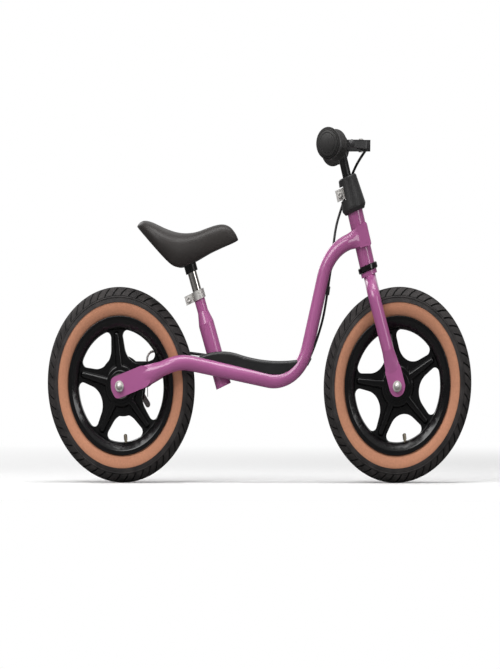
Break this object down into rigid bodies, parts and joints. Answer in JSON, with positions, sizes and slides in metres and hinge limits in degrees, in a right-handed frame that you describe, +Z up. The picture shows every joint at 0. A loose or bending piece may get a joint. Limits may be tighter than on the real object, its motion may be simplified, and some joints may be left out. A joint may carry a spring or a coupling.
{
  "type": "balance bike",
  "caption": "Child's balance bike with a twin-tube step-through frame, moulded spoked wheels on air tyres, padded saddle, safety grips and a cable-worked rear drum brake.",
  "frame": {"origin": "on the ground, midway between the two axles, in the bike's middle plane", "axes": "+X forward, +Y to the rider's left, +Z up"},
  "size_m": [0.914, 0.4146, 0.5585],
  "materials": {
    "orchid_paint": "gloss",
    "black_paint": "satin",
    "tyre_black": "matte",
    "tyre_tan": "matte",
    "inner_rubber": "matte",
    "wheel_plastic": "gloss",
    "black_plastic": "matte",
    "grip_rubber": "matte",
    "saddle_vinyl": "satin",
    "chrome": "polished",
    "zinc_steel": "satin",
    "cast_alloy": "satin",
    "valve_brass": "satin",
    "cable_black": "satin"
  },
  "bodies": {
    "frame": {"head_tube": "orchid_paint", "right_main_tube": "orchid_paint", "left_main_tube": "orchid_paint", "seat_tube": "orchid_paint", "lower_head_bush": "black_plastic", "upper_head_bush": "black_plastic", "footboard": "black_plastic", "footboard_straps": "orchid_paint", "footboard_screws": "zinc_steel", "seat_clamp": "chrome", "seat_clamp_bolt": "zinc_steel", "rear_axle": "zinc_steel", "rear_axle_nuts": "chrome", "brake_back_plate": "black_paint", "brake_torque_bolt": "zinc_steel", "cable_clips": "black_plastic", "brake_cable_lower": "cable_black", "cable_guide_pipe": "zinc_steel", "brake_wire": "zinc_steel", "shoe_springs": "zinc_steel"},
    "fork": {"fork_steerer": "zinc_steel", "right_fork_blade": "orchid_paint", "left_fork_blade": "orchid_paint", "front_axle": "zinc_steel", "front_axle_nuts": "chrome", "stem_clamp": "chrome", "stem_clamp_bolt": "zinc_steel", "stem_cover": "black_plastic", "brake_cable_loop": "cable_black"},
    "handlebar": {"handlebar": "black_paint", "right_grip": "grip_rubber", "left_grip": "grip_rubber", "lever_bracket": "black_plastic", "lever_bracket_bolt": "zinc_steel", "lever_pivot_pin": "zinc_steel", "cable_adjuster": "zinc_steel", "brake_cable_upper": "cable_black"},
    "brake_lever": {"brake_lever": "black_plastic"},
    "front_wheel": {"front_tread": "tyre_black", "front_tyre_casing": "tyre_tan", "front_inner_tube": "inner_rubber", "front_wheel_moulding": "wheel_plastic", "front_wheel_bearings": "zinc_steel", "front_valve": "valve_brass"},
    "rear_wheel": {"rear_tread": "tyre_black", "rear_tyre_casing": "tyre_tan", "rear_inner_tube": "inner_rubber", "rear_wheel_moulding": "wheel_plastic", "rear_wheel_bearings": "zinc_steel", "rear_valve": "valve_brass", "brake_drum": "black_paint", "rear_dust_ring": "chrome"},
    "brake_arm": {"brake_arm": "zinc_steel", "cable_anchor_bolt": "zinc_steel"},
    "upper_shoe": {"upper_brake_shoe": "cast_alloy"},
    "lower_shoe": {"lower_brake_shoe": "cast_alloy"},
    "seat": {"seat_post": "chrome", "saddle_bracket": "black_paint", "saddle_base": "black_plastic", "saddle_cover": "saddle_vinyl"}
  },
  "joints": [
    {"name": "steering", "type": "hinge", "parent": "frame", "child": "fork", "pos_m": [0.29221, 0, 0.159], "axis": [-0.3132, 0, 0.9497], "range_deg": [-40, 40], "deforming": ["brake_cable_loop"]},
    {"name": "bar_height", "type": "slide", "parent": "fork", "child": "handlebar", "axis": [-0.3132, 0, 0.9497], "range_m": [0, 0.06], "deforming": ["brake_cable_upper"]},
    {"name": "seat_height", "type": "slide", "parent": "frame", "child": "seat", "axis": [-0.342, 0, 0.9397], "range_m": [-0.01, 0.07]},
    {"name": "front_spin", "type": "hinge", "parent": "fork", "child": "front_wheel", "pos_m": [0.298, 0, 0.159], "axis": [0, 1, 0], "continuous": true},
    {"name": "rear_spin", "type": "hinge", "parent": "frame", "child": "rear_wheel", "pos_m": [-0.298, 0, 0.159], "axis": [0, 1, 0], "continuous": true},
    {"name": "brake_lever_pull", "type": "hinge", "parent": "handlebar", "child": "brake_lever", "pos_m": [0.21225, -0.076, 0.53413], "axis": [0, 0, -1], "range_deg": [0, 12], "stiffness_Nm_per_rad": 1.5, "springref_deg": -8.59, "deforming": ["brake_wire"]},
    {"name": "brake_arm_turn", "type": "hinge", "parent": "frame", "child": "brake_arm", "pos_m": [-0.267, 0.041, 0.159], "axis": [0, -1, 0], "range_deg": [0, 5]},
    {"name": "upper_shoe_turn", "type": "hinge", "parent": "frame", "child": "upper_shoe", "pos_m": [-0.329, 0.0275, 0.159], "axis": [0, -1, 0], "range_deg": [0, 1]},
    {"name": "lower_shoe_turn", "type": "hinge", "parent": "frame", "child": "lower_shoe", "pos_m": [-0.329, 0.0275, 0.159], "axis": [0, 1, 0], "range_deg": [0, 1]}
  ],
  "couplings": [
    {"joint": "brake_arm_turn", "follows": "brake_lever_pull", "ratio": 0.4},
    {"joint": "upper_shoe_turn", "follows": "brake_lever_pull", "ratio": 0.05},
    {"joint": "lower_shoe_turn", "follows": "brake_lever_pull", "ratio": 0.05}
  ]
}
